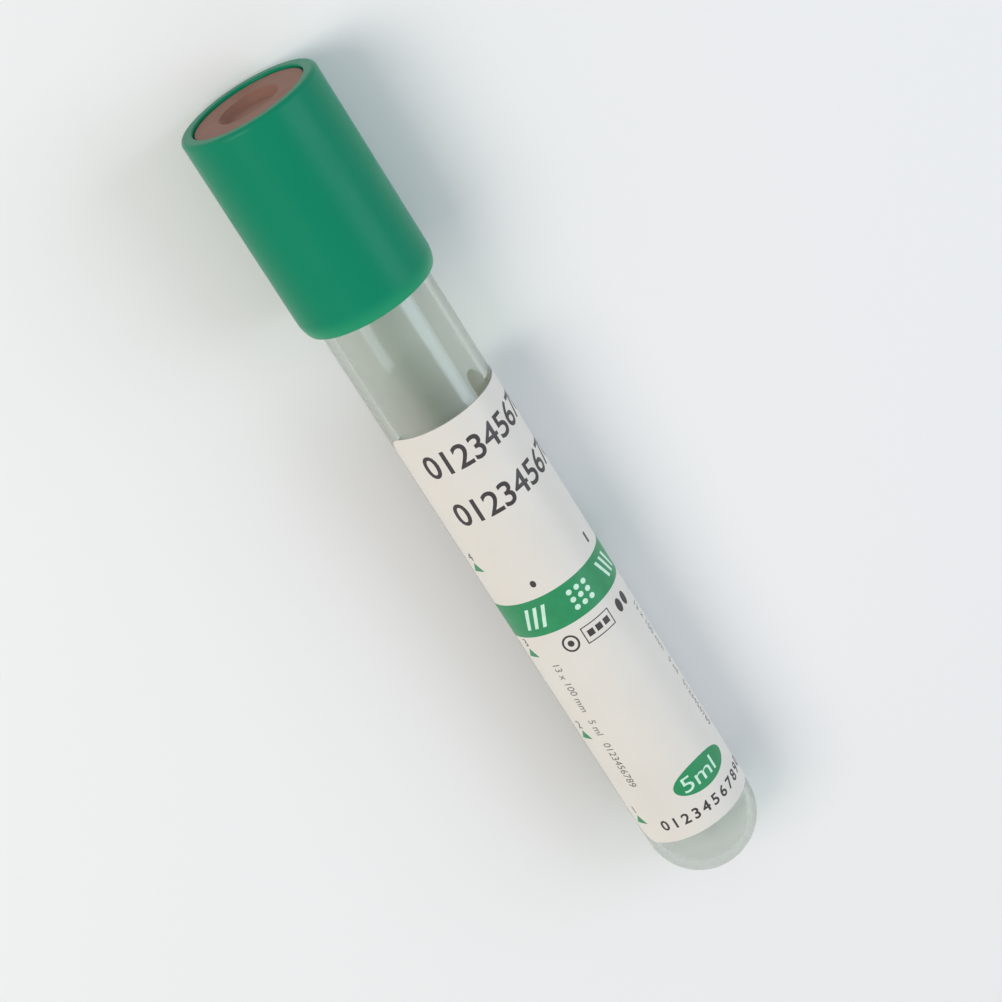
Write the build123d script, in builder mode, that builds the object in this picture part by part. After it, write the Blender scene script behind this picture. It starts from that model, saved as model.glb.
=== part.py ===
from build123d import *
import os
from math import asin, degrees

# Blood collection tube: a round-bottomed glass tube with a wrapped label, closed by a rubber
# stopper that a safety cap carries and covers.
#
# The tube lies on its side along X, cap towards +X, as it comes to rest on a bench. The origin
# is on the tube's axis at the centre of the round bottom, and +Z is up. All sizes are in mm.

# ------------------------------------------------------------------ driving dimensions
# Glass tube
tube_diameter = 13.0
tube_length = 100.0         # from the tip of the round bottom to the mouth
glass_wall = 1.0
mouth_bevel = 0.3           # the softened edges of the mouth

# Safety cap, sized outwards from the glass
skirt_clearance = 0.2       # between the glass and the grip ribs and bead
grip_rib_height = 0.3
grip_rib_width = 0.8
grip_rib_count = 12
grip_rib_lead = 1.2         # length of the sloping lower end of each rib
grip_rib_setback = 2.5      # from the skirt's lower edge to the ribs
bead_width = 0.6            # of the bead that the stopper's flange snaps past
cap_wall = 0.9
cap_height = 24.2
cap_top_round = 0.5
rim_thickness = 0.8         # the rim turned in over the stopper's flange
rim_overlap = 0.4           # how far the rim reaches in over the flange
skirt_roll_length = 1.8     # the skirt's lower end is rolled in over this length
skirt_roll_depth = 0.4
skirt_edge_bevel = 0.2

# Rubber stopper
flange_thickness = 2.2
flange_clearance = 0.1      # between the flange and the cap's bore
flange_bevel = 0.25
boss_clearance = 0.1        # between the boss and the cap's rim
boss_recess = 0.3           # the boss ends this far below the rim's top
needle_well_diameter = 7.0
needle_well_depth = 0.9
needle_well_taper = 0.6     # the well narrows by this much towards its floor
septum_thickness = 4.8      # rubber that the needle passes through
plug_length = 9.0           # how far the plug reaches into the mouth
plug_clearance = 0.05       # between the seal rings and the glass
plug_wall = 1.9
plug_hollow_bevel = 1.2     # round the closed end of the plug's hollow
plug_nose_length = 1.4
plug_nose_taper = 0.6
seal_ring_count = 3
seal_ring_width = 0.9
seal_ring_height = 0.3
ridge_slope = 60            # degrees, of the flanks of the seal rings and the cap's bead

# Label
label_width = 24.0          # around the glass
label_height = 57.0         # along the glass
label_thickness = 0.1
label_corner = 1.9
label_foot = 8.0            # from the tip of the round bottom to the label's lower edge
label_start_turn = -76.0    # turn about X from the top of the glass to the label's left edge

# ------------------------------------------------------------------ worked-out sizes and places
tube_radius = tube_diameter / 2
bore_radius = tube_radius - glass_wall
mouth_x = tube_length - tube_radius

grip_radius = tube_radius + skirt_clearance
cap_bore_radius = grip_radius + grip_rib_height
cap_radius = cap_bore_radius + cap_wall

flange_radius = cap_bore_radius - flange_clearance
rim_radius = flange_radius - rim_overlap
flange_top_x = mouth_x + flange_thickness
cap_top_x = flange_top_x + rim_thickness
cap_foot_x = cap_top_x - cap_height

# ------------------------------------------------------------------ glass tube
# One blown piece: a straight wall that ends in a hemisphere, open at the mouth.
with BuildPart() as tube:
    with BuildSketch(Plane.XZ):
        with BuildLine():
            CenterArc((0, 0), tube_radius, start_angle=90, arc_size=90)
            Polyline((0, tube_radius), (mouth_x, tube_radius), (mouth_x, bore_radius), (0, bore_radius))
            CenterArc((0, 0), bore_radius, start_angle=90, arc_size=90)
            Line((-bore_radius, 0), (-tube_radius, 0))
        make_face()
    revolve(axis=Axis.X)
    mouth_face = tube.faces().sort_by(Axis.X)[-1]
    chamfer(mouth_face.edges(), length=min(mouth_bevel, 0.4 * glass_wall))
tube.part.label = "tube"

# ------------------------------------------------------------------ rubber stopper
# A flange that seats on the mouth, a boss that fills the cap's open top, and a hollow plug with
# seal rings. The needle goes in at the well and through the septum.
plug_radius = bore_radius - plug_clearance - seal_ring_height
plug_hollow_radius = plug_radius - plug_wall
boss_radius = rim_radius - boss_clearance
well_radius = needle_well_diameter / 2
boss_top_x = cap_top_x - boss_recess
well_floor_x = boss_top_x - needle_well_depth
hollow_end_x = well_floor_x - septum_thickness
plug_end_x = mouth_x - plug_length
nose_x = plug_end_x + plug_nose_length
seal_ring_pitch = (mouth_x - nose_x) / (seal_ring_count + 1)

with BuildPart() as rubber_stopper:
    with BuildSketch(Plane.XZ):
        with BuildLine():
            Polyline(
                (hollow_end_x, 0),
                (well_floor_x, 0),
                (well_floor_x, well_radius - needle_well_taper),
                (boss_top_x, well_radius),
                (boss_top_x, boss_radius),
                (flange_top_x, boss_radius),
                (flange_top_x, flange_radius),
                (mouth_x, flange_radius),
                (mouth_x, plug_radius),
                (nose_x, plug_radius),
                (plug_end_x, plug_radius - plug_nose_taper),
                (plug_end_x, plug_hollow_radius),
                (hollow_end_x - plug_hollow_bevel, plug_hollow_radius),
                (hollow_end_x, plug_hollow_radius - plug_hollow_bevel),
                close=True,
            )
        make_face()
        for ring in range(seal_ring_count):
            with Locations((nose_x + (ring + 1) * seal_ring_pitch, plug_radius)):
                Trapezoid(seal_ring_width, seal_ring_height, ridge_slope, align=(Align.CENTER, Align.MIN))
    revolve(axis=Axis.X)
    flange_rim = rubber_stopper.edges().filter_by(GeomType.CIRCLE).sort_by(SortBy.RADIUS)[-2:]
    chamfer(flange_rim, length=flange_bevel)
rubber_stopper.part.label = "rubber_stopper"

# ------------------------------------------------------------------ safety cap
# A moulded shell: a skirt over the glass, a rim turned in over the stopper's flange, a bead that
# the flange snaps past, and grip ribs that centre the cap on the glass. The ribs start inside the
# wall and end inside the bead's flank.
bead_x = mouth_x - bead_width / 2
rib_foot_x = cap_foot_x + grip_rib_setback
rib_head_x = bead_x - 0.4 * bead_width
rib_root_radius = cap_bore_radius + cap_wall / 3

with BuildPart() as safety_cap:
    with BuildSketch(Plane.XZ):
        with BuildLine():
            Polyline(
                (cap_foot_x + skirt_roll_length, cap_radius),
                (cap_top_x, cap_radius),
                (cap_top_x, rim_radius),
                (flange_top_x, rim_radius),
                (flange_top_x, cap_bore_radius),
                (cap_foot_x, cap_bore_radius),
                (cap_foot_x, cap_radius - skirt_roll_depth),
            )
            TangentArc(
                (cap_foot_x + skirt_roll_length, cap_radius),
                (cap_foot_x, cap_radius - skirt_roll_depth),
                tangent=(-1, 0),
            )
        make_face()
        with Locations((bead_x, cap_bore_radius)):
            Trapezoid(
                bead_width,
                grip_rib_height,
                ridge_slope,
                rotation=180,
                align=(Align.CENTER, Align.MIN),
            )
    revolve(axis=Axis.X)
    top_edges = safety_cap.faces().sort_by(Axis.X)[-1].edges().sort_by(SortBy.RADIUS)
    fillet(top_edges[-1], radius=min(cap_top_round, 0.8 * cap_wall))
    foot_face = safety_cap.faces().sort_by(Axis.X)[0]
    chamfer(foot_face.edges(), length=min(skirt_edge_bevel, 0.4 * (cap_wall - skirt_roll_depth)))
    for rib in range(grip_rib_count):
        with BuildSketch(Plane.XZ.rotated((rib * 360 / grip_rib_count, 0, 0))):
            with BuildLine():
                Polyline(
                    (rib_foot_x, rib_root_radius),
                    (rib_foot_x, cap_bore_radius),
                    (rib_foot_x + grip_rib_lead, grip_radius),
                    (rib_head_x, grip_radius),
                    (rib_head_x, rib_root_radius),
                    close=True,
                )
            make_face()
        extrude(amount=grip_rib_width / 2, both=True)
safety_cap.part.label = "safety_cap"

# ------------------------------------------------------------------ label
# A thin sheet wrapped round part of the glass, with rounded corners.
label_foot_x = label_foot - tube_radius
label_head_x = label_foot_x + label_height
label_turn = degrees(label_width / tube_radius)
corner_turn = degrees(asin(label_corner / tube_radius))
label_corners = [
    (turn, side, x, end)
    for turn, side in (
        (label_start_turn + corner_turn, 1),
        (label_start_turn + label_turn - corner_turn, -1),
    )
    for x, end in ((label_foot_x + label_corner, -1), (label_head_x - label_corner, 1))
]

with BuildPart() as label:
    with BuildSketch(Plane.XZ.rotated((label_start_turn, 0, 0))):
        with Locations((label_foot_x, tube_radius)):
            Rectangle(label_height, label_thickness, align=(Align.MIN, Align.MIN))
    revolve(axis=Axis.X, revolution_arc=label_turn)
    for turn, side, x, end in label_corners:
        with BuildSketch(Plane.XY.rotated((turn, 0, 0))):
            with Locations((x + end * label_corner, side * label_corner)):
                Rectangle(2 * label_corner, 2 * label_corner)
            with Locations((x, 0)):
                Circle(label_corner, mode=Mode.SUBTRACT)
        extrude(amount=tube_diameter, mode=Mode.SUBTRACT)
label.part.label = "label"

# ------------------------------------------------------------------ export
os.makedirs("parts", exist_ok=True)
for piece in (tube.part, rubber_stopper.part, safety_cap.part, label.part):
    export_step(piece, f"parts/{piece.label}.step")
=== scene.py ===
"""Blood collection tube: the visual model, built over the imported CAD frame.

The tube lies along X with its cap towards +X. The origin is at the centre of its round bottom,
on its axis, and +Z is up. All sizes are in metres.
"""

import math

import bmesh
import bpy
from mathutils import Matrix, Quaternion, Vector


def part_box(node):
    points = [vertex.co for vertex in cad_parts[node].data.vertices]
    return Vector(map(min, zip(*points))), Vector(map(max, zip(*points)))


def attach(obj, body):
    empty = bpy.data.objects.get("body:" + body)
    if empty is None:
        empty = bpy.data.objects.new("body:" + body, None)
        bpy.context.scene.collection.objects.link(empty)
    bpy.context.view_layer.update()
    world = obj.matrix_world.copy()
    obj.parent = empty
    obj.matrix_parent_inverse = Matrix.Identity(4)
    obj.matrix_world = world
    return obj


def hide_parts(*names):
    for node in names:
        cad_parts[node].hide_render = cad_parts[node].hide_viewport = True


bl_info = {
    "name": "Blood Collection Tube",
    "version": (1, 0, 0),
    "blender": (4, 5, 0),
    "location": "View3D > Sidebar > Sample Tube",
    "description": "Builds a labelled, capped sample tube over its CAD frame, piece by piece",
    "category": "Add Mesh",
}

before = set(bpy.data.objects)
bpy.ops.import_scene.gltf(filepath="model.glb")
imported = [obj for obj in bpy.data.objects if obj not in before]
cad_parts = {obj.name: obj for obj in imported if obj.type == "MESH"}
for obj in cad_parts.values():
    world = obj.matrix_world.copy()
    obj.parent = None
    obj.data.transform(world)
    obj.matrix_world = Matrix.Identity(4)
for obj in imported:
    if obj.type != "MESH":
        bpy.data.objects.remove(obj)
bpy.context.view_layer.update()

MM = 0.001
TUBE_LOW, TUBE_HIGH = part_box("tube")
CAP_LOW, CAP_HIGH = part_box("safety_cap")
STOPPER_LOW, STOPPER_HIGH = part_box("rubber_stopper")
LABEL_LOW, LABEL_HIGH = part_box("label")
TUBE_RADIUS = TUBE_HIGH.z
MOUTH_X = TUBE_HIGH.x
CAP_RADIUS = CAP_HIGH.z
SIDE_SAMPLES = 192          # facets round a turned piece
CREASE = math.radians(35)   # an edge sharper than this stays crisp
WELD = 1e-7                 # points closer than this are one
HOLD = 0.04 * MM            # how close a holding ring stands to the corner that it holds
ROOM_WHITE = (0.88, 0.885, 0.89)        # what shows behind the tube and its floor


# ------------------------------------------------------------------ settings
def length(name, default, description):
    """A length setting, in metres."""
    return bpy.props.FloatProperty(
        name=name, default=default, description=description, unit="LENGTH", precision=6
    )


def turn(name, degrees, description):
    """An angle setting, given in degrees."""
    return bpy.props.FloatProperty(
        name=name, default=math.radians(degrees), description=description, subtype="ANGLE"
    )


def colour(name, default, description):
    """A colour setting, in linear values."""
    return bpy.props.FloatVectorProperty(
        name=name, default=default, description=description, subtype="COLOR", size=3, min=0, max=1
    )


class GlassSettings(bpy.types.PropertyGroup):
    """The blown glass tube."""

    wall: length("Wall", 1.0 * MM, "Thickness of the glass")
    mouth_round: length("Mouth Round", 0.35 * MM, "Radius of the fire-polished mouth")
    tint: colour("Tint", (0.94, 0.945, 0.935), "Colour of the glass")
    depth: colour("Depth Colour", (0.70, 0.75, 0.69), "What the glass turns towards with depth")
    density: bpy.props.FloatProperty(
        name="Depth Density", default=500.0, description="How fast the glass darkens, per metre"
    )
    shade: colour("Shade", (0.93, 0.95, 0.935), "What the glass lets through to its shadow")
    # Painted light: the mouth's pale colour stands in for the light that the glass wall carries to
    # it
    mouth: colour("Mouth", (0.50, 0.56, 0.51), "Colour that the mouth shows from its end")


class StopperSettings(bpy.types.PropertyGroup):
    """The moulded rubber stopper."""

    flange_thickness: length("Flange Thickness", 2.2 * MM, "Flange that seats on the mouth")
    boss_radius: length("Boss Radius", 6.4 * MM, "Radius of the boss inside the cap's rim")
    well_radius: length("Well Radius", 3.5 * MM, "Radius of the needle well at its top")
    well_depth: length("Well Depth", 0.9 * MM, "Depth of the needle well")
    well_taper: length("Well Taper", 0.6 * MM, "How much the well narrows towards its floor")
    septum: length("Septum", 4.8 * MM, "Rubber that the needle passes through")
    plug_radius: length("Plug Radius", 5.15 * MM, "Radius of the plug between its rings")
    nose_radius: length("Nose Radius", 4.55 * MM, "Radius of the plug's tapered end")
    nose_length: length("Nose Length", 1.4 * MM, "Length of the plug's tapered end")
    hollow_radius: length("Hollow Radius", 3.25 * MM, "Radius of the plug's hollow")
    hollow_round: length("Hollow Round", 1.2 * MM, "Rounding of the hollow's closed end")
    ring_height: length("Ring Height", 0.3 * MM, "Height of the seal rings")
    ring_count: bpy.props.IntProperty(
        name="Ring Count", default=3, min=1, max=6, description="Number of seal rings"
    )
    rubber: colour("Rubber", (0.235, 0.105, 0.07), "Colour of the rubber")


class CapSettings(bpy.types.PropertyGroup):
    """The moulded safety cap."""

    wall: length("Wall", 0.9 * MM, "Thickness of the cap's wall")
    top_round: length("Top Round", 0.5 * MM, "Radius of the top outer edge")
    rim_thickness: length("Rim Thickness", 0.8 * MM, "Thickness of the rim over the flange")
    rim_radius: length("Rim Radius", 6.5 * MM, "Radius of the opening in the top")
    roll_length: length("Roll Length", 1.8 * MM, "Length of the rolled-in lower edge")
    roll_depth: length("Roll Depth", 0.4 * MM, "Depth of the rolled-in lower edge")
    rib_height: length("Rib Height", 0.3 * MM, "Height of the grip ribs inside the skirt")
    rib_width: length("Rib Width", 0.8 * MM, "Width of the grip ribs")
    rib_setback: length("Rib Setback", 2.5 * MM, "From the skirt's lower edge to the ribs")
    rib_lead: length("Rib Lead", 1.2 * MM, "Length of the sloping lower end of each rib")
    rib_round: length("Rib Round", 0.12 * MM, "Rounding of each rib's crest")
    rib_count: bpy.props.IntProperty(
        name="Rib Count", default=12, min=3, max=48, description="Number of grip ribs"
    )
    plastic: colour("Plastic", (0.001, 0.220, 0.114), "Colour of the cap")
    # Painted light: the paler colour at the skirt's lower edge stands in for light shining through
    # the thin plastic
    painted_edge_glow: colour("Thin Plastic", (0.03, 0.36, 0.17), "What the cap turns towards where it thins")


class LabelSettings(bpy.types.PropertyGroup):
    """The wrapped label and its print."""

    width: length("Width", 24.0 * MM, "Width round the glass")
    thickness: length("Thickness", 0.1 * MM, "Thickness of the paper")
    corner: length("Corner", 1.9 * MM, "Radius of the corners")
    start_turn: turn("Start Turn", -76.0, "Turn from the top of the glass to the left edge")
    digits: bpy.props.StringProperty(
        name="Digits", default="012345678", description="Plain digits printed in two rows"
    )
    volume: bpy.props.StringProperty(
        name="Volume", default="5ml", description="Draw volume printed in the oval"
    )
    fine_print: bpy.props.StringProperty(
        name="Fine Print", default="13 x 100 mm   5 ml   0123456789",
        description="Small print down the sides",
    )
    ink_lift: length("Ink Lift", 0.008 * MM, "How far the ink stands above the paper")
    paper: colour("Paper", (0.745, 0.71, 0.65), "Colour of the paper")
    green_ink: colour("Green Ink", (0.010, 0.25, 0.090), "Colour of the band and signs")
    pale_ink: colour("Pale Ink", (0.60, 0.84, 0.69), "Colour of the signs on the band")
    dark_ink: colour("Dark Ink", (0.035, 0.028, 0.03), "Colour of the digits")
    grey_ink: colour("Grey Ink", (0.17, 0.15, 0.145), "Colour of the small print")


class StageSettings(bpy.types.PropertyGroup):
    """The floor, lamps and camera."""

    floor: colour("Floor", (0.86, 0.86, 0.85), "Colour of the floor")
    fade_start: length("Fade Start", 0.14, "Where the floor starts to turn into the room's white")
    fade_end: length("Fade End", 0.6, "Where the floor has turned into the room's white")
    room_light: colour("Room Light", (0.93, 0.96, 1.0), "Colour of the room's own light")
    room_strength: bpy.props.FloatProperty(
        name="Room Strength", default=0.5, description="Strength of the room's own light"
    )
    distance: length("Distance", 0.3317, "From the tube's middle to the camera")
    azimuth: turn("Azimuth", 89.2, "Camera's turn round the tube from the -Y side")
    elevation: turn("Elevation", 66.6, "Camera's height above the horizon")
    roll: turn("Roll", 148.4, "Camera's roll, which leans the tube's cap to the upper left")
    lens: bpy.props.FloatProperty(
        name="Lens", default=112.0, description="Camera's focal length", unit="CAMERA"
    )


def settings(name):
    """One of the scene's PropertyGroups, by name."""
    return getattr(bpy.context.scene, name)


# ------------------------------------------------------------------ outlines
def arc(centre, radius, start, end, steps):
    """Points (x, radius) of an arc in the plane of the axis, from start to end degrees."""
    turns = [math.radians(start + (end - start) * i / steps) for i in range(steps + 1)]
    return [
        (centre[0] + radius * math.cos(t), centre[1] + radius * math.sin(t)) for t in turns
    ]


def rounded(points, radii, steps=8):
    """The polyline's corners replaced by arcs of the given radii. A radius of 0 keeps a corner."""
    result = [points[0]]
    for i in range(1, len(points) - 1):
        before, here, after = (Vector(points[j]) for j in (i - 1, i, i + 1))
        radius = radii.get(i, 0.0)
        if radius == 0.0:
            result.append(points[i])
            continue
        back, on = (before - here).normalized(), (after - here).normalized()
        half = back.angle(on) / 2
        reach = radius / math.tan(half)
        centre = here + (back + on).normalized() * (radius / math.sin(half))
        first = (here + back * reach) - centre
        last = (here + on * reach) - centre
        sweep = math.atan2(first.x * last.y - first.y * last.x, first.dot(last))
        for k in range(steps + 1):
            t = sweep * k / steps
            result.append((
                centre.x + first.x * math.cos(t) - first.y * math.sin(t),
                centre.y + first.x * math.sin(t) + first.y * math.cos(t),
            ))
    result.append(points[-1])
    return result


# ------------------------------------------------------------------ meshes
def new_object(name, mesh):
    """A linked object at the origin that shows the mesh."""
    obj = bpy.data.objects.new(name, mesh)
    bpy.context.scene.collection.objects.link(obj)
    return obj


def mesh_from(name, vertices, edges=(), faces=()):
    """A mesh from plain lists."""
    mesh = bpy.data.meshes.new(name)
    mesh.from_pydata([tuple(v) for v in vertices], edges, faces)
    mesh.update()
    return mesh


def held(points):
    """The profile with a point close to each end of its long straight runs.

    Smooth shading then turns in the corners alone, and a long wall refracts and shines as flat.
    """
    out = [points[0]]
    for here, there in zip(points, points[1:]):
        run = math.dist(here, there)
        if run > 10 * HOLD:
            for share in (HOLD / run, 1.0 - HOLD / run):
                out.append(tuple(a + (b - a) * share for a, b in zip(here, there)))
        out.append(there)
    return out


def profile_mesh(name, points):
    """A profile as a chain of edges, with the axis along X and the radius along Z."""
    points = held(points)
    vertices = [(x, 0.0, radius) for x, radius in points]
    return mesh_from(name, vertices, edges=[(i, i + 1) for i in range(len(points) - 1)])


def facing_out(mesh):
    """Welds the mesh and turns its faces outwards."""
    bm = bmesh.new()
    bm.from_mesh(mesh)
    bmesh.ops.remove_doubles(bm, verts=bm.verts, dist=WELD)
    bmesh.ops.dissolve_degenerate(bm, edges=bm.edges, dist=WELD)
    bmesh.ops.recalc_face_normals(bm, faces=bm.faces)
    if bm.calc_volume(signed=True) < 0:
        bmesh.ops.reverse_faces(bm, faces=bm.faces)
    bm.to_mesh(mesh)
    bm.free()
    return mesh


def smoothed(mesh):
    """Smooth shading, with sharp edges kept crisp."""
    mesh.shade_smooth()
    mesh.set_sharp_from_angle(angle=CREASE)
    return mesh


def with_nodes(name, mesh, tree, values):
    """The mesh run through a Geometry Nodes tree, as a plain mesh.

    values holds the modifier's inputs by name. Each is set by its socket's identifier.
    """
    source = new_object(name + "_source", mesh)
    modifier = source.modifiers.new("nodes", "NODES")
    modifier.node_group = tree
    sockets = {
        item.name: item.identifier
        for item in tree.interface.items_tree
        if item.item_type == "SOCKET" and item.in_out == "INPUT"
    }
    for key, value in values.items():
        modifier[sockets[key]] = value
    graph = bpy.context.evaluated_depsgraph_get()
    graph.update()
    made = bpy.data.meshes.new_from_object(source.evaluated_get(graph), depsgraph=graph)
    source.modifiers.remove(modifier)
    bpy.data.objects.remove(source)
    made.name = name
    if not made.polygons:
        raise RuntimeError(f"{name}: the nodes made no faces")
    return made


def finish_piece(name, mesh, material, body, replaces=()):
    """Shows the mesh as a finished piece that rides on a body of the frame."""
    mesh.materials.clear()
    mesh.materials.append(material)
    piece = new_object(name, mesh)
    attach(piece, body)
    if replaces:
        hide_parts(*replaces)
    return piece


# ------------------------------------------------------------------ nodes
def fill(tree, node, inputs):
    """Links a node's inputs to outputs, or sets their values."""
    for key, value in inputs.items():
        socket = node.inputs[key]
        if isinstance(value, bpy.types.NodeSocket):
            tree.links.new(value, socket)
        elif socket.type == "RGBA":
            socket.default_value = (*value, 1.0)
        else:
            socket.default_value = value


def add(tree, kind, inputs=None, **options):
    """A node with its options set and its inputs filled."""
    made = tree.nodes.new(kind)
    for key, value in options.items():
        setattr(made, key, value)
    fill(tree, made, inputs or {})
    return made


# ------------------------------------------------------------------ geometry node trees
class Tree:
    """A Geometry Nodes tree under construction."""

    def __init__(self, name, inputs):
        self.tree = bpy.data.node_groups.new(name, "GeometryNodeTree")
        face = self.tree.interface
        face.new_socket("Geometry", in_out="INPUT", socket_type="NodeSocketGeometry")
        for label, kind, default in inputs:
            socket = face.new_socket(label, in_out="INPUT", socket_type=f"NodeSocket{kind}")
            if default is not None:
                socket.default_value = default
        face.new_socket("Geometry", in_out="OUTPUT", socket_type="NodeSocketGeometry")
        self.given = self.tree.nodes.new("NodeGroupInput").outputs

    def node(self, kind, inputs=None, **options):
        """A node with its options set and its inputs filled."""
        return add(self.tree, kind, inputs, **options)

    def maths(self, operation, first, second=0.0):
        """One sum on two numbers."""
        return self.node("ShaderNodeMath", {0: first, 1: second}, operation=operation).outputs[0]

    def xyz(self, x, y, z):
        """A vector from three numbers."""
        return self.node("ShaderNodeCombineXYZ", {0: x, 1: y, 2: z}).outputs[0]

    def parts(self, vector):
        """The three numbers of a vector."""
        return self.node("ShaderNodeSeparateXYZ", {0: vector}).outputs

    def finish(self, geometry):
        """Ends the tree in Realize Instances and Set Material."""
        real = self.node("GeometryNodeRealizeInstances", {"Geometry": geometry})
        painted = self.node(
            "GeometryNodeSetMaterial",
            {"Geometry": real.outputs[0], "Material": self.given["Material"]},
        )
        self.node("NodeGroupOutput", {0: painted.outputs[0]})
        return self.tree


def lathe_tree():
    """Turns a profile, given as a chain of points, about the X axis."""
    t = Tree("lathe", [("Segments", "Int", SIDE_SAMPLES), ("Material", "Material", None)])
    profile = t.given["Geometry"]
    segments = t.given["Segments"]
    count = t.node("GeometryNodeAttributeDomainSize", {"Geometry": profile}, component="MESH")
    rounds = t.maths("ADD", segments, 1.0)
    grid = t.node(
        "GeometryNodeMeshGrid", {"Vertices X": count.outputs["Point Count"], "Vertices Y": rounds}
    )
    index = t.node("GeometryNodeInputIndex").outputs[0]
    along = t.maths("FLOOR", t.maths("DIVIDE", t.maths("ADD", index, 0.5), rounds))
    around = t.maths("SUBTRACT", index, t.maths("MULTIPLY", along, rounds))
    place = t.node("GeometryNodeInputPosition").outputs[0]
    point = t.node(
        "GeometryNodeSampleIndex",
        {"Geometry": profile, "Value": place, "Index": along},
        data_type="FLOAT_VECTOR",
        domain="POINT",
    )
    x, _, radius = t.parts(point.outputs[0])
    angle = t.maths("DIVIDE", t.maths("MULTIPLY", around, math.tau), segments)
    turned = t.xyz(
        x,
        t.maths("MULTIPLY", radius, t.maths("SINE", angle)),
        t.maths("MULTIPLY", radius, t.maths("COSINE", angle)),
    )
    moved = t.node("GeometryNodeSetPosition", {"Geometry": grid.outputs[0], "Position": turned})
    welded = t.node(
        "GeometryNodeMergeByDistance", {"Geometry": moved.outputs[0], "Distance": WELD}
    )
    return t.finish(welded.outputs[0])


def polar_tree():
    """Repeats a piece evenly about the X axis."""
    t = Tree("polar_repeat", [("Count", "Int", 12), ("Material", "Material", None)])
    count = t.given["Count"]
    line = t.node("GeometryNodeMeshLine", {"Count": count, "Offset": (0.0, 0.0, 0.0)})
    index = t.node("GeometryNodeInputIndex").outputs[0]
    angle = t.maths("DIVIDE", t.maths("MULTIPLY", index, math.tau), count)
    spin = t.node(
        "FunctionNodeAxisAngleToRotation", {"Axis": (1.0, 0.0, 0.0), "Angle": angle}
    )
    ring = t.node(
        "GeometryNodeInstanceOnPoints",
        {
            "Points": line.outputs[0],
            "Instance": t.given["Geometry"],
            "Rotation": spin.outputs[0],
        },
    )
    return t.finish(ring.outputs[0])


def wrap_tree():
    """Wraps flat artwork round the glass.

    The artwork has X along the label's width, Y along its height and Z out of the paper.
    """
    t = Tree(
        "wrap_round",
        [("Radius", "Float", 1.0), ("Start Turn", "Float", 0.0), ("Material", "Material", None)],
    )
    radius = t.given["Radius"]
    u, v, lift = t.parts(t.node("GeometryNodeInputPosition").outputs[0])
    angle = t.maths("ADD", t.given["Start Turn"], t.maths("DIVIDE", u, radius))
    out = t.maths("ADD", radius, lift)
    place = t.xyz(
        v,
        t.maths("MULTIPLY", t.maths("MULTIPLY", out, t.maths("SINE", angle)), -1.0),
        t.maths("MULTIPLY", out, t.maths("COSINE", angle)),
    )
    moved = t.node(
        "GeometryNodeSetPosition", {"Geometry": t.given["Geometry"], "Position": place}
    )
    return t.finish(moved.outputs[0])


# ------------------------------------------------------------------ shader node groups
def shader_group(name, inputs, outputs):
    """An empty shader node group with named sockets, what it is given, and its end node."""
    group = bpy.data.node_groups.new(name, "ShaderNodeTree")
    for label, kind, default in inputs:
        socket = group.interface.new_socket(label, in_out="INPUT", socket_type=f"NodeSocket{kind}")
        socket.default_value = default
    for label in outputs:
        group.interface.new_socket(label, in_out="OUTPUT", socket_type="NodeSocketFloat")
    return group, add(group, "NodeGroupInput").outputs, add(group, "NodeGroupOutput")


def fine_grain_group():
    """Fine surface grain: a height for bump, and a mottled mask."""
    group, given, out = shader_group(
        "fine_grain",
        [
            ("Scale", "Float", 2000.0),
            ("Mottle Scale", "Float", 150.0),
            ("Stretch", "Vector", (1, 1, 1)),
        ],
        ["Height", "Mottle"],
    )
    place = add(group, "ShaderNodeTexCoord").outputs["Object"]
    stretched = add(
        group, "ShaderNodeVectorMath", {0: place, 1: given["Stretch"]}, operation="MULTIPLY"
    )
    for label, scale, detail in (("Height", "Scale", 3.0), ("Mottle", "Mottle Scale", 4.0)):
        noise = add(
            group,
            "ShaderNodeTexNoise",
            {"Vector": stretched.outputs[0], "Scale": given[scale], "Detail": detail},
        )
        fill(group, out, {label: noise.outputs["Fac"]})
    return group


def handling_group():
    """Faint smears left by handling: a roughness that varies between two values."""
    group, given, out = shader_group(
        "handling_smears",
        [("Clean", "Float", 0.05), ("Smeared", "Float", 0.2), ("Scale", "Float", 90.0)],
        ["Roughness"],
    )
    place = add(group, "ShaderNodeTexCoord").outputs["Object"]
    noise = add(
        group,
        "ShaderNodeTexNoise",
        {"Vector": place, "Scale": given["Scale"], "Detail": 5.0, "Distortion": 0.8},
    )
    spread = add(
        group,
        "ShaderNodeMapRange",
        {
            "Value": noise.outputs["Fac"],
            "From Min": 0.45,
            "From Max": 0.75,
            "To Min": given["Clean"],
            "To Max": given["Smeared"],
        },
    )
    fill(group, out, {"Roughness": spread.outputs[0]})
    return group


GROUPS = {"fine_grain": fine_grain_group, "handling_smears": handling_group}


def placed(tree, name, values):
    """A shared group placed in a material, with its own values."""
    made = add(tree, "ShaderNodeGroup", node_tree=bpy.data.node_groups.get(name) or GROUPS[name]())
    fill(tree, made, values)
    return made.outputs


# ------------------------------------------------------------------ materials
def new_material(name):
    """A material with a bare Principled shader, its node tree and the shader."""
    material = bpy.data.materials.new(name)
    material.use_nodes = True
    return material, material.node_tree, material.node_tree.nodes["Principled BSDF"]


def mix_colours(tree, factor, first, second):
    """A colour between two others."""
    mix = add(tree, "ShaderNodeMix", {0: factor, 6: first, 7: second}, data_type="RGBA")
    return mix.outputs[2]


def mix_shaders(tree, factor, first, second):
    """A shader between two others."""
    return add(tree, "ShaderNodeMixShader", {0: factor, 1: first, 2: second}).outputs[0]


def mottled(tree, grain, value, spread):
    """The colour, darker and lighter by a share of itself as the grain's mottle has it."""
    darker, lighter = (
        tuple(min(1.0, c * share) for c in value) for share in (1.0 - spread, 1.0 + spread)
    )
    return mix_colours(tree, grain["Mottle"], darker, lighter)


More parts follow.
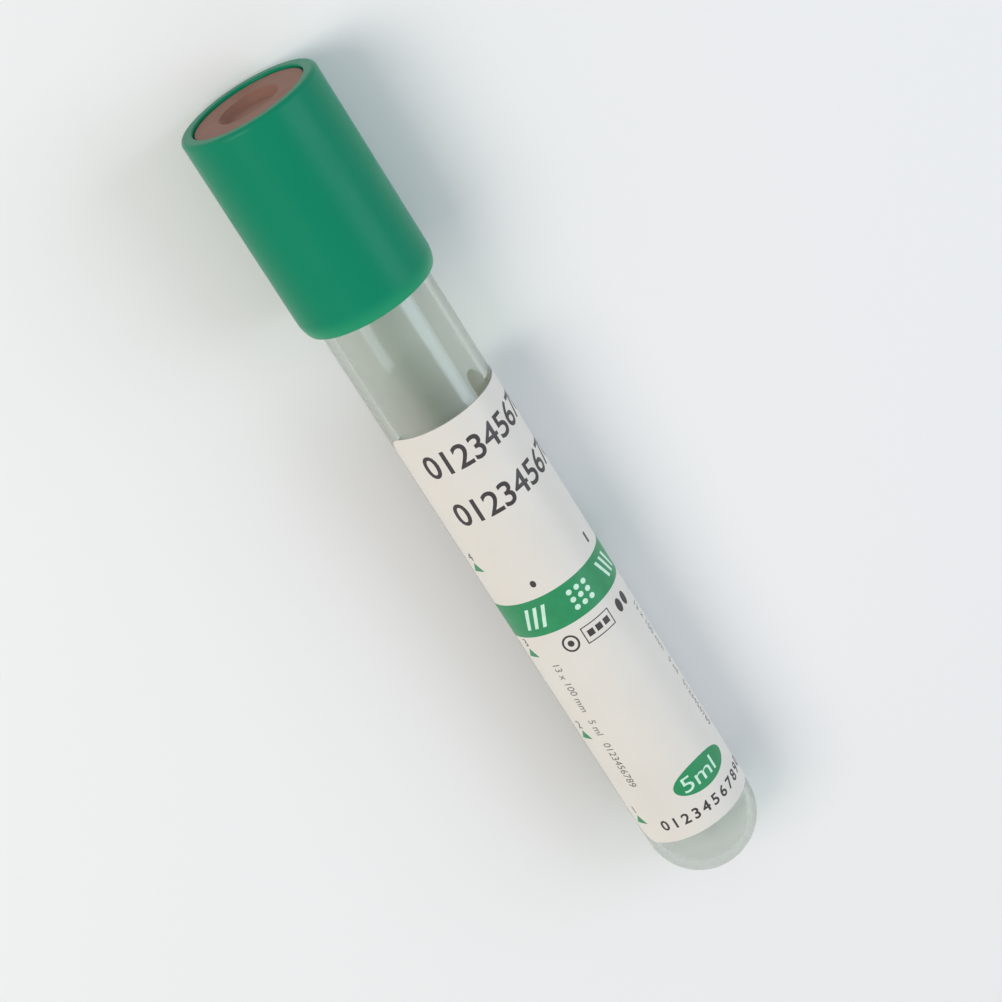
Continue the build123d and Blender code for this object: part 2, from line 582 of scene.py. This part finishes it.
def handled(tree, shader, clean, smeared, scale):
    """Gives the shader a roughness that varies between clean and smeared."""
    smears = placed(
        tree, "handling_smears", {"Clean": clean, "Smeared": smeared, "Scale": scale}
    )
    fill(tree, shader, {"Roughness": smears[0]})


def bumped(tree, shader, grain, distance, strength):
    """Feeds the grain's height to the shader as bump."""
    bump = add(
        tree,
        "ShaderNodeBump",
        {"Height": grain["Height"], "Distance": distance, "Strength": strength},
    )
    fill(tree, shader, {"Normal": bump.outputs[0]})


def clear_glass():
    """Clear glass with a faint grey-green tint, faint smears and a waviness along the tube."""
    s = settings("tube_glass")
    material, tree, shader = new_material("clear_glass")
    fill(tree, shader, {"Base Color": s.tint, "Transmission Weight": 1.0, "IOR": 1.5})
    handled(tree, shader, clean=0.0, smeared=0.06, scale=110.0)
    grain = placed(tree, "fine_grain", {"Scale": 260.0, "Stretch": (0.12, 1.0, 1.0)})
    bumped(tree, shader, grain, distance=0.02 * MM, strength=0.35)
    paths = add(tree, "ShaderNodeLightPath").outputs
    clear = add(tree, "ShaderNodeBsdfTransparent", {"Color": s.shade}).outputs[0]
    seen = mix_shaders(tree, paths["Is Shadow Ray"], shader.outputs[0], clear)
    seen = mix_shaders(tree, paths["Is Diffuse Ray"], seen, clear)
    inside = add(tree, "ShaderNodeVolumeAbsorption", {"Color": s.depth, "Density": s.density})
    out = tree.nodes["Material Output"]
    fill(tree, out, {"Surface": seen, "Volume": inside.outputs[0]})
    return material


def mouth_painted_light():
    """The fire-polished mouth, opaque and pale: its colour is painted light, standing in for the
    light that the glass wall carries to it.
    """
    material, tree, shader = new_material("mouth_painted_light")
    grain = placed(tree, "fine_grain", {"Scale": 1500.0, "Mottle Scale": 400.0})
    fill(tree, shader, {"Base Color": mottled(tree, grain, settings("tube_glass").mouth, 0.1)})
    handled(tree, shader, clean=0.06, smeared=0.18, scale=160.0)
    return material


def label_paper():
    """White semi-gloss paper with a faint mottle."""
    material, tree, shader = new_material("label_paper")
    grain = placed(tree, "fine_grain", {"Scale": 3500.0, "Mottle Scale": 130.0})
    fill(tree, shader, {"Base Color": mottled(tree, grain, settings("tube_label").paper, 0.05)})
    handled(tree, shader, clean=0.36, smeared=0.5, scale=160.0)
    bumped(tree, shader, grain, distance=0.01 * MM, strength=0.3)
    return material


def printing_ink(name, ink):
    """Ink on paper: slightly uneven in colour, with the paper's grain."""
    material, tree, shader = new_material(name)
    grain = placed(tree, "fine_grain", {"Scale": 3500.0, "Mottle Scale": 900.0})
    fill(tree, shader, {"Base Color": mottled(tree, grain, ink, 0.18)})
    handled(tree, shader, clean=0.34, smeared=0.48, scale=160.0)
    bumped(tree, shader, grain, distance=0.01 * MM, strength=0.3)
    return material


def cap_plastic():
    """Opaque green moulded plastic, satin. Towards the skirt's lower edge it turns paler: painted
    light, a glow standing in for light that shines through the thin plastic there.
    """
    s = settings("tube_cap")
    material, tree, shader = new_material("cap_plastic")
    grain = placed(
        tree,
        "fine_grain",
        {"Scale": 1800.0, "Mottle Scale": 120.0, "Stretch": (0.25, 1.0, 1.0)},
    )
    body = mottled(tree, grain, s.plastic, 0.07)
    place = add(tree, "ShaderNodeTexCoord").outputs["Object"]
    # A mask that is strongest at the skirt's lower edge, where the paler colour is painted light
    edge = add(
        tree,
        "ShaderNodeMapRange",
        {
            "Value": add(tree, "ShaderNodeSeparateXYZ", {0: place}).outputs["X"],
            "From Min": CAP_LOW.x,
            "From Max": CAP_LOW.x + 1.25 * s.roll_length,
            "To Min": 0.6,
            "To Max": 0.0,
        },
        interpolation_type="SMOOTHSTEP",
    )
    fill(tree, shader, {"Base Color": mix_colours(tree, edge.outputs[0], body, s.painted_edge_glow)})
    fill(tree, shader, {"Specular IOR Level": 0.14})    # low, so that the green stays deep
    handled(tree, shader, clean=0.3, smeared=0.42, scale=120.0)
    bumped(tree, shader, grain, distance=0.01 * MM, strength=0.25)
    return material


def stopper_rubber():
    """Matt red-brown rubber with a fine grain and a little bloom."""
    material, tree, shader = new_material("stopper_rubber")
    grain = placed(tree, "fine_grain", {"Scale": 2600.0, "Mottle Scale": 420.0})
    fill(tree, shader, {"Base Color": mottled(tree, grain, settings("tube_stopper").rubber, 0.15)})
    handled(tree, shader, clean=0.58, smeared=0.74, scale=200.0)
    bumped(tree, shader, grain, distance=0.03 * MM, strength=0.4)
    return material


def seen_rays(tree):
    """1 for a ray that carries the view: from the camera, mirrored, or through glass."""
    paths = add(tree, "ShaderNodeLightPath").outputs
    seen = paths["Is Camera Ray"]
    for ray in ("Is Glossy Ray", "Is Transmission Ray"):
        seen = add(tree, "ShaderNodeMath", {0: seen, 1: paths[ray]}, operation="MAXIMUM").outputs[0]
    return seen


def pale_floor():
    """A plain pale table top that runs out into the white of the room."""
    s = settings("tube_stage")
    material, tree, shader = new_material("pale_floor")
    grain = placed(tree, "fine_grain", {"Scale": 900.0, "Mottle Scale": 8.0})
    fill(tree, shader, {"Base Color": mottled(tree, grain, s.floor, 0.01), "Roughness": 0.6})
    place = add(tree, "ShaderNodeTexCoord").outputs["Object"]
    reach = add(tree, "ShaderNodeVectorMath", {0: place}, operation="LENGTH")
    far = add(
        tree,
        "ShaderNodeMapRange",
        {"Value": reach.outputs["Value"], "From Min": s.fade_start, "From Max": s.fade_end},
        interpolation_type="SMOOTHSTEP",
    )
    share = add(
        tree, "ShaderNodeMath", {0: seen_rays(tree), 1: far.outputs[0]}, operation="MULTIPLY"
    )
    white = add(tree, "ShaderNodeEmission", {"Color": ROOM_WHITE})
    seen = mix_shaders(tree, share.outputs[0], shader.outputs[0], white.outputs[0])
    fill(tree, tree.nodes["Material Output"], {"Surface": seen})
    return material


# ------------------------------------------------------------------ glass tube
def turned_piece(name, profile, material):
    """A profile turned about the axis, with its faces outwards."""
    made = with_nodes(
        name,
        profile_mesh(f"{name}_profile", profile),
        lathe_tree(),
        {"Segments": SIDE_SAMPLES, "Material": material},
    )
    return smoothed(facing_out(made))


def glass_profile():
    """Outer dome, wall, rounded mouth, bore and inner dome, from tip to inner tip."""
    glass = settings("tube_glass")
    bore = TUBE_RADIUS - glass.wall
    mouth = rounded(
        [(0.0, TUBE_RADIUS), (MOUTH_X, TUBE_RADIUS), (MOUTH_X, bore), (0.0, bore)],
        {1: glass.mouth_round, 2: glass.mouth_round},
    )
    outer = arc((0.0, 0.0), TUBE_RADIUS, 180.0, 90.0, 32)
    inner = arc((0.0, 0.0), bore, 90.0, 180.0, 28)
    return outer[:-1] + mouth + inner[1:]


class TUBE_OT_build_glass(bpy.types.Operator):
    """Build the round-bottomed glass tube"""

    bl_idname = "sample_tube.build_glass"
    bl_label = "Build Glass Tube"

    def execute(self, context):
        material = clear_glass()
        mesh = turned_piece("glass_tube", glass_profile(), material)
        finish_piece("glass_tube", mesh, material, "tube", ["tube"])
        # The mouth's faces get the opaque material whose pale colour is painted light
        mesh.materials.append(mouth_painted_light())
        mouth_start = MOUTH_X - 0.6 * settings("tube_glass").mouth_round
        for face in mesh.polygons:
            if face.center.x > mouth_start:
                face.material_index = 1
        return {"FINISHED"}


# ------------------------------------------------------------------ rubber stopper
def stopper_profile():
    """The moulded stopper, from the plug's hollow round to the needle well."""
    s = settings("tube_stopper")
    top, flange_radius, end = STOPPER_HIGH.x, STOPPER_HIGH.z, STOPPER_LOW.x
    floor = top - s.well_depth
    hollow_end = floor - s.septum
    flange_top = MOUTH_X + s.flange_thickness
    nose = end + s.nose_length
    pitch = (MOUTH_X - nose) / (s.ring_count + 1)
    wide, middling, small = 0.4 * MM, 0.3 * MM, 0.15 * MM       # roundings of the edges
    hollow = rounded(
        [
            (hollow_end, 0.0),
            (hollow_end, s.hollow_radius),
            (end, s.hollow_radius),
            (end, s.nose_radius),
        ],
        {1: s.hollow_round, 2: middling},
    )
    rings = []
    for ring in reversed(range(s.ring_count)):
        centre = nose + (ring + 1) * pitch
        rings += arc((centre, s.plug_radius), s.ring_height, 0.0, 180.0, 12)
    outside = rounded(
        [
            (MOUTH_X, s.plug_radius),
            (MOUTH_X, flange_radius),
            (flange_top, flange_radius),
            (flange_top, s.boss_radius),
            (top, s.boss_radius),
            (top, s.well_radius),
            (floor, s.well_radius - s.well_taper),
            (floor, 0.0),
        ],
        {1: middling, 2: middling, 4: small, 5: small, 6: wide},
    )
    return hollow + [(nose, s.plug_radius)] + rings[::-1] + outside


class TUBE_OT_build_stopper(bpy.types.Operator):
    """Build the rubber stopper with its needle well and hollow plug"""

    bl_idname = "sample_tube.build_stopper"
    bl_label = "Build Rubber Stopper"

    def execute(self, context):
        material = stopper_rubber()
        mesh = turned_piece("stopper", stopper_profile(), material)
        finish_piece("stopper", mesh, material, "closure", ["rubber_stopper"])
        return {"FINISHED"}


# ------------------------------------------------------------------ safety cap
def cap_profile():
    """The moulded shell, as a closed loop round its wall."""
    s = settings("tube_cap")
    foot, top = CAP_LOW.x, CAP_HIGH.x
    bore = CAP_RADIUS - s.wall
    flange_top = top - s.rim_thickness
    roll_radius = (s.roll_length**2 + s.roll_depth**2) / (2 * s.roll_depth)
    roll_sweep = math.degrees(math.asin(s.roll_length / roll_radius))
    roll = arc(
        (foot + s.roll_length, CAP_RADIUS - roll_radius), roll_radius, 90.0 + roll_sweep, 90.0, 12
    )
    rim_round, lip_round = 0.2 * MM, 0.15 * MM
    outside = rounded(
        [
            roll[-1],
            (top, CAP_RADIUS),
            (top, s.rim_radius),
            (flange_top, s.rim_radius),
            (flange_top, bore),
        ],
        {1: s.top_round, 2: rim_round, 3: rim_round / 2},
    )
    # The snap bead is a half round as high as the ribs. Its ends stop just clear of the bore.
    bead = MOUTH_X - s.rib_height
    bead_half = math.degrees(math.asin(0.999))
    inside = arc((bead, bore), s.rib_height, -90.0 + bead_half, -90.0 - bead_half, 12)
    lip = rounded([inside[-1], (foot, bore), roll[0], roll[1]], {1: lip_round, 2: lip_round}, 6)
    return roll[1:-1] + outside + inside + lip[1:]


def rib_mesh(name):
    """One grip rib inside the skirt, at the top of the bore, with a sloping lower end.

    It starts inside the wall and ends inside the snap bead.
    """
    s = settings("tube_cap")
    bore = CAP_RADIUS - s.wall
    crest, root = bore - s.rib_height, bore + s.wall / 3
    foot = CAP_LOW.x + s.rib_setback
    head = MOUTH_X - 0.9 * s.rib_height
    side = [(foot, root), (foot, bore), (foot + s.rib_lead, crest), (head, crest), (head, root)]
    half = s.rib_width / 2
    vertices = [(x, y, z) for y in (-half, half) for x, z in side]
    count = len(side)
    faces = [tuple(range(count)), tuple(range(2 * count - 1, count - 1, -1))]
    for i in range(count):
        j = (i + 1) % count
        faces.append((i, i + count, j + count, j))
    mesh = mesh_from(name, vertices, faces=faces)
    bm = bmesh.new()
    bm.from_mesh(mesh)
    crest_edges = [
        edge
        for edge in bm.edges
        if all(abs(v.co.z - crest) < WELD for v in edge.verts)
        and abs(edge.verts[0].co.x - edge.verts[1].co.x) > WELD
    ]
    bmesh.ops.bevel(
        bm, geom=crest_edges, offset=s.rib_round, segments=4, profile=0.5, affect="EDGES"
    )
    bm.to_mesh(mesh)
    bm.free()
    return mesh


class TUBE_OT_build_cap(bpy.types.Operator):
    """Build the safety cap with its snap bead and grip ribs"""

    bl_idname = "sample_tube.build_cap"
    bl_label = "Build Safety Cap"

    def execute(self, context):
        s = settings("tube_cap")
        material = cap_plastic()
        shell = turned_piece("cap_shell", cap_profile(), material)
        finish_piece("cap_shell", shell, material, "closure", ["safety_cap"])
        ribs = with_nodes(
            "cap_grip_ribs",
            rib_mesh("cap_rib"),
            polar_tree(),
            {"Count": s.rib_count, "Material": material},
        )
        smoothed(facing_out(ribs))
        finish_piece("cap_grip_ribs", ribs, material, "closure")
        return {"FINISHED"}


# ------------------------------------------------------------------ label and print
SLICE = 0.15 * MM           # width of the strips that flat artwork is cut into to be wrapped
PAPER_GAP = 0.004 * MM      # between the glass and the paper
INK_SINK = 0.004 * MM       # how deep the ink reaches into the paper

# The label's layout, in millimetres: u runs across it from its left edge, and v up from the
# tube's tip.
BAND = (38.0, 42.5)                     # foot and head of the green band
DIGIT_ROWS = (59.65, 53.35)             # feet of the two rows of digits
BAND_MARKS = ((4.9, 0.55), (10.5, 0.0), (15.6, -0.55))      # middles and leans of the band's signs
SIGN_LINE = 35.9                        # middle of the line of signs under the band
LEVELS = (47.8, 35.8, 24.0, 11.4)       # middles of the fill marks by the left edge
FINE_LINES = (3.3, 16.4)                # left edges of the lines of small print
FINE_HEAD = 34.2                        # where the small print starts
OVAL = (11.45, 14.0, 3.9, 1.8)          # the oval's middle, half width and half height
VOLUME_START = (8.4, 13.05)             # where its volume starts
FOOT_START = (4.5, 9.7)                 # where the foot's digits start


def loops_mesh(name, loops, low, high):
    """Closed outlines in millimetres, filled and raised from low to high.

    Heights are counted from the tube's tip. A loop inside another is a hole.
    """
    data = bpy.data.curves.new(name, "CURVE")
    data.dimensions = "2D"
    data.fill_mode = "BOTH"
    for loop in loops:
        spline = data.splines.new("POLY")
        spline.points.add(len(loop) - 1)
        for point, (u, v) in zip(spline.points, loop):
            point.co = (u, v, 0.0, 1.0)
        spline.use_cyclic_u = True
    return raised(data, MM, (0.0, TUBE_LOW.x), low, high)


def words_mesh(name, text, size, place, low, high, pitch=None, tall=1.0, bold=0.0, turned=False):
    """Plain characters in Blender's own font, raised from low to high.

    size, place and pitch are in millimetres. pitch sets the characters at an even spacing, bold
    widens their strokes by a share of their size, and turned runs them down the label.
    """
    meshes = []
    for i, shown in enumerate(text if pitch else [text]):
        data = bpy.data.curves.new(f"{name}_{i}", "FONT")
        data.body = shown
        data.align_x = "CENTER" if pitch else "LEFT"
        data.resolution_u = 4
        data.bevel_depth = bold
        data.bevel_resolution = 0
        mesh = raised(data, size * MM, (0.0, 0.0), low, high)
        for v in mesh.vertices:
            along, up = v.co.x + (i * pitch * MM if pitch else 0.0), v.co.y * tall
            if turned:
                along, up = up, -along
            v.co.x, v.co.y = place[0] * MM + along, place[1] * MM + TUBE_LOW.x + up
        meshes.append(mesh)
    return joined(name, meshes)


def raised(data, scale, place, low, high):
    """The flat curve's solid mesh, scaled, moved to its place and raised from low to high."""
    data.extrude = 0.5
    obj = new_object(data.name, data)
    graph = bpy.context.evaluated_depsgraph_get()
    graph.update()
    mesh = bpy.data.meshes.new_from_object(obj.evaluated_get(graph), depsgraph=graph)
    bpy.data.objects.remove(obj)
    for v in mesh.vertices:
        lift = high if v.co.z > 0 else low
        v.co = (v.co.x * scale + place[0], v.co.y * scale + place[1], lift)
    return mesh


def joined(name, meshes):
    """Several meshes as one."""
    bm = bmesh.new()
    for mesh in meshes:
        bm.from_mesh(mesh)
        bpy.data.meshes.remove(mesh)
    result = bpy.data.meshes.new(name)
    bm.to_mesh(result)
    bm.free()
    return result


def sliced(mesh, step=SLICE):
    """The flat mesh cut into narrow strips along its width, so that it bends smoothly."""
    bm = bmesh.new()
    bm.from_mesh(mesh)
    bmesh.ops.remove_doubles(bm, verts=bm.verts, dist=WELD)
    low = min(v.co.x for v in bm.verts)
    high = max(v.co.x for v in bm.verts)
    for k in range(math.floor(low / step) + 1, math.ceil(high / step)):
        bmesh.ops.bisect_plane(
            bm,
            geom=bm.verts[:] + bm.edges[:] + bm.faces[:],
            dist=WELD / 10,
            plane_co=(k * step, 0, 0),
            plane_no=(1, 0, 0),
        )
    bm.to_mesh(mesh)
    bm.free()
    return mesh


def wrapped(name, mesh, material):
    """Flat artwork cut into strips and wrapped round the glass."""
    values = {
        "Radius": TUBE_RADIUS,
        "Start Turn": settings("tube_label").start_turn,
        "Material": material,
    }
    made = with_nodes(name, sliced(mesh), wrap_tree(), values)
    return smoothed(made)


def box_loop(u0, v0, u1, v1):
    """A rectangle's corners."""
    return [(u0, v0), (u1, v0), (u1, v1), (u0, v1)]


def oval_loop(u, v, half_width, half_height, steps=48):
    """An oval."""
    turns = [math.tau * i / steps for i in range(steps)]
    return [(u + half_width * math.cos(t), v + half_height * math.sin(t)) for t in turns]


def sheet_loop():
    """The label's outline, with rounded corners, in millimetres."""
    s = settings("tube_label")
    width, corner = s.width / MM, s.corner / MM
    foot, head = (LABEL_LOW.x - TUBE_LOW.x) / MM, (LABEL_HIGH.x - TUBE_LOW.x) / MM
    loop = []
    for u, v, start in (
        (width - corner, foot + corner, -90.0),
        (width - corner, head - corner, 0.0),
        (corner, head - corner, 90.0),
        (corner, foot + corner, 180.0),
    ):
        loop += arc((u, v), corner, start, start + 90.0, 10)
    return loop


class TUBE_OT_build_label(bpy.types.Operator):
    """Build the paper label wrapped round the glass"""

    bl_idname = "sample_tube.build_label"
    bl_label = "Build Label"

    def execute(self, context):
        s = settings("tube_label")
        material = label_paper()
        flat = loops_mesh("label_flat", [sheet_loop()], PAPER_GAP, s.thickness)
        mesh = wrapped("label_sheet", flat, material)
        finish_piece("label_sheet", mesh, material, "tube", ["label"])
        return {"FINISHED"}


def arrow_loop():
    """A block arrow that points left, in the label's top right corner."""
    return [
        (19.9, 61.9), (21.8, 63.9), (21.8, 62.8), (23.3, 62.8),
        (23.3, 61.0), (21.8, 61.0), (21.8, 59.9),
    ]


def tick_loop(v):
    """A small triangle by the label's left edge."""
    return [(0.55, v - 0.6), (2.25, v - 0.6), (1.4, v + 0.6)]


class TUBE_OT_build_print(bpy.types.Operator):
    """Build the label's printed band, signs, digits and lines of small print"""

    bl_idname = "sample_tube.build_print"
    bl_label = "Build Label Print"

    def execute(self, context):
        s = settings("tube_label")
        low, high = s.thickness - INK_SINK, s.thickness + s.ink_lift
        over = high + s.ink_lift
        green, dark, grey, pale = (
            printing_ink(name, tuple(getattr(s, name)))
            for name in ("green_ink", "dark_ink", "grey_ink", "pale_ink")
        )

        loops = [
            box_loop(0.0, BAND[0], s.width / MM, BAND[1]),
            arrow_loop(),
            oval_loop(*OVAL),
            *(tick_loop(v) for v in LEVELS),
        ]
        self.add("print_green", loops_mesh("green_flat", loops, low, high), green)

        marks = []
        for u, lean in BAND_MARKS:
            marks += self.band_mark(u, sum(BAND) / 2, lean)
        light = [
            loops_mesh("marks_flat", marks, low, over),
            words_mesh("volume", s.volume, 3.4, VOLUME_START, low, over, tall=0.8),
        ]
        self.add("print_pale", joined("pale_flat", light), pale)

        black = [
            words_mesh(
                f"digits_{row}", s.digits, 3.75, (4.2, foot), low, high,
                pitch=1.82, tall=1.06, bold=0.012,
            )
            for row, foot in enumerate(DIGIT_ROWS)
        ]
        black.append(loops_mesh("signs_flat", self.small_signs(), low, high))
        for i, v in enumerate(LEVELS):
            number = str(len(LEVELS) - i)
            black.append(
                words_mesh(f"level_{i}", number, 1.5, (1.4, v + 0.9), low, high, pitch=1.0)
            )
        black.append(
            words_mesh(
                "foot_digits", "0123456789012", 1.9, FOOT_START, low, high,
                pitch=1.3, bold=0.02,
            )
        )
        self.add("print_dark", joined("dark_flat", black), dark)

        fine = [
            words_mesh(f"fine_{u}", s.fine_print, 1.3, (u, FINE_HEAD), low, high, turned=True)
            for u in FINE_LINES
        ]
        self.add("print_fine", joined("fine_flat", fine), grey)
        return {"FINISHED"}

    def add(self, name, flat, material):
        """Wraps flat artwork and shows it as a piece."""
        mesh = wrapped(name, flat, material)
        finish_piece(name, mesh, material, "tube")

    def band_mark(self, u, v, lean):
        """A pale sign on the band: leaning strokes, or a square of dots where there is no lean."""
        across = (-1.0, 0.0, 1.0)
        dot, half, reach = 0.33, 0.22, 1.3      # a dot's radius, a stroke's half width and height
        if lean == 0.0:
            return [oval_loop(u + a, v + b, dot, dot, 12) for a in across for b in across]
        return [
            [
                (u + a - half - lean, v - reach), (u + a + half - lean, v - reach),
                (u + a + half + lean, v + reach), (u + a - half + lean, v + reach),
            ]
            for a in across
        ]

    def small_signs(self):
        """The plain dark signs below and above the band."""
        ring_u, low, high = 6.8, SIGN_LINE - 1.05, SIGN_LINE + 1.05
        line = 0.12
        return [
            # a dot in a ring
            oval_loop(ring_u, SIGN_LINE, 0.95, 1.05),
            oval_loop(ring_u, SIGN_LINE, 0.72, 0.82)[::-1],
            oval_loop(ring_u, SIGN_LINE, 0.36, 0.4, 16),
            # three squares in a frame
            box_loop(8.4, low, 12.2, high),
            box_loop(8.4 + line, low + line, 12.2 - line, high - line)[::-1],
            *(
                box_loop(u, SIGN_LINE - 0.4, u + 0.75, SIGN_LINE + 0.4)
                for u in (8.9, 9.95, 11.0)
            ),
            # two upright ovals
            *(oval_loop(u, SIGN_LINE, 0.48, 0.85, 16) for u in (13.8, 15.1)),
            # a dot and a stroke above the band
            oval_loop(ring_u, 44.2, 0.32, 0.42, 16),
            box_loop(15.0, 43.6, 15.35, 44.9),
        ]


# ------------------------------------------------------------------ stage
def floor_tilt():
    """The slope on which the tube lies: it touches at the round bottom and the cap's skirt."""
    s = settings("tube_cap")
    touch_x = CAP_LOW.x + s.roll_length
    reach = math.hypot(touch_x, CAP_RADIUS)
    return math.acos(TUBE_RADIUS / reach) - math.atan2(touch_x, CAP_RADIUS)


def look_at(obj, aim, roll=0.0):
    """Turns a lamp or camera to face a point, rolled about its own line of sight."""
    facing = (aim - obj.location).to_track_quat("-Z", "Y")
    obj.rotation_mode = "QUATERNION"
    obj.rotation_quaternion = facing @ Quaternion((0, 0, 1), roll)


def soft_lamp(name, place, size, power, tint, aim):
    """A large soft area lamp."""
    data = bpy.data.lights.new(name, "AREA")
    data.shape = "DISK"
    data.size = size
    data.energy = power
    data.color = tint
    lamp = bpy.data.objects.new(name, data)
    bpy.context.scene.collection.objects.link(lamp)
    lamp.location = place
    look_at(lamp, aim)
    return lamp


class TUBE_OT_build_stage(bpy.types.Operator):
    """Build the floor, lamps, world and camera"""

    bl_idname = "sample_tube.build_stage"
    bl_label = "Build Stage"

    def execute(self, context):
        s = settings("tube_stage")
        middle = Vector(((TUBE_LOW.x + CAP_HIGH.x) / 2, 0.0, 0.0))
        self.build_floor(middle)
        for name, place, size, power, tint in (
            ("window_lamp", (0.2, 0.5, 0.62), 0.5, 3.5, (1.0, 0.94, 0.865)),
            ("sky_lamp", (-0.05, -0.65, 0.5), 0.6, 2.4, (0.72, 0.85, 1.0)),
        ):
            soft_lamp(name, middle + Vector(place), size, power, tint, middle)
        self.build_world(s)
        self.build_camera(context, s, middle)
        context.scene.view_settings.view_transform = "Standard"
        return {"FINISHED"}

    def build_floor(self, middle):
        """The slope that the tube rests on, wide enough to fill every view."""
        tilt = floor_tilt()
        half = 1.5
        along = Vector((math.cos(tilt), 0.0, -math.sin(tilt)))
        rest = Vector((-TUBE_RADIUS * math.sin(tilt), 0.0, -TUBE_RADIUS * math.cos(tilt)))
        centre = rest + along * middle.x
        corners = [
            centre + along * a * half + Vector((0.0, b * half, 0.0))
            for a, b in ((-1, -1), (1, -1), (1, 1), (-1, 1))
        ]
        mesh = mesh_from("floor", corners, faces=[(0, 1, 2, 3)])
        mesh.materials.append(pale_floor())
        new_object("floor", mesh)

    def build_world(self, s):
        """The room: soft light on the tube, and plain white behind it."""
        world = bpy.data.worlds.new("pale_room")
        world.use_nodes = True
        tree = world.node_tree
        light = tree.nodes["Background"]
        fill(tree, light, {"Color": s.room_light, "Strength": s.room_strength})
        white = add(tree, "ShaderNodeBackground", {"Color": ROOM_WHITE, "Strength": 1.0})
        seen = mix_shaders(tree, seen_rays(tree), light.outputs[0], white.outputs[0])
        fill(tree, tree.nodes["World Output"], {"Surface": seen})
        bpy.context.scene.world = world

    def build_camera(self, context, s, middle):
        """The camera, aimed at the tube's middle from above."""
        data = bpy.data.cameras.new("camera")
        data.lens = s.lens
        data.sensor_width = 36.0
        data.clip_start = 0.01
        data.clip_end = 10.0
        camera = bpy.data.objects.new("camera", data)
        context.scene.collection.objects.link(camera)
        flat = math.cos(s.elevation)
        back = Vector(
            (math.sin(s.azimuth) * flat, -math.cos(s.azimuth) * flat, math.sin(s.elevation))
        )
        camera.location = middle + back * s.distance
        look_at(camera, middle, s.roll)
        context.scene.camera = camera


# ------------------------------------------------------------------ panel and registration
class TUBE_PT_panel(bpy.types.Panel):
    """Lists the steps that build the sample tube"""

    bl_label = "Sample Tube"
    bl_idname = "TUBE_PT_panel"
    bl_space_type = "VIEW_3D"
    bl_region_type = "UI"
    bl_category = "Sample Tube"

    def draw(self, context):
        for step in BUILD_STEPS:
            self.layout.operator(step.bl_idname)


PROPERTY_GROUPS = {
    "tube_glass": GlassSettings,
    "tube_stopper": StopperSettings,
    "tube_cap": CapSettings,
    "tube_label": LabelSettings,
    "tube_stage": StageSettings,
}
BUILD_STEPS = (
    TUBE_OT_build_glass,
    TUBE_OT_build_stopper,
    TUBE_OT_build_cap,
    TUBE_OT_build_label,
    TUBE_OT_build_print,
    TUBE_OT_build_stage,
)


def register():
    """Adds the settings, the steps and the panel."""
    for name, group in PROPERTY_GROUPS.items():
        bpy.utils.register_class(group)
        setattr(bpy.types.Scene, name, bpy.props.PointerProperty(type=group))
    for kind in (*BUILD_STEPS, TUBE_PT_panel):
        bpy.utils.register_class(kind)


def unregister():
    """Takes them away again."""
    for kind in (TUBE_PT_panel, *reversed(BUILD_STEPS)):
        bpy.utils.unregister_class(kind)
    for name, group in PROPERTY_GROUPS.items():
        delattr(bpy.types.Scene, name)
        bpy.utils.unregister_class(group)


def main():
    """Builds every piece in order."""
    register()
    bpy.ops.sample_tube.build_glass()
    bpy.ops.sample_tube.build_stopper()
    bpy.ops.sample_tube.build_cap()
    bpy.ops.sample_tube.build_label()
    bpy.ops.sample_tube.build_print()
    bpy.ops.sample_tube.build_stage()


if __name__ == "__main__":
    main()
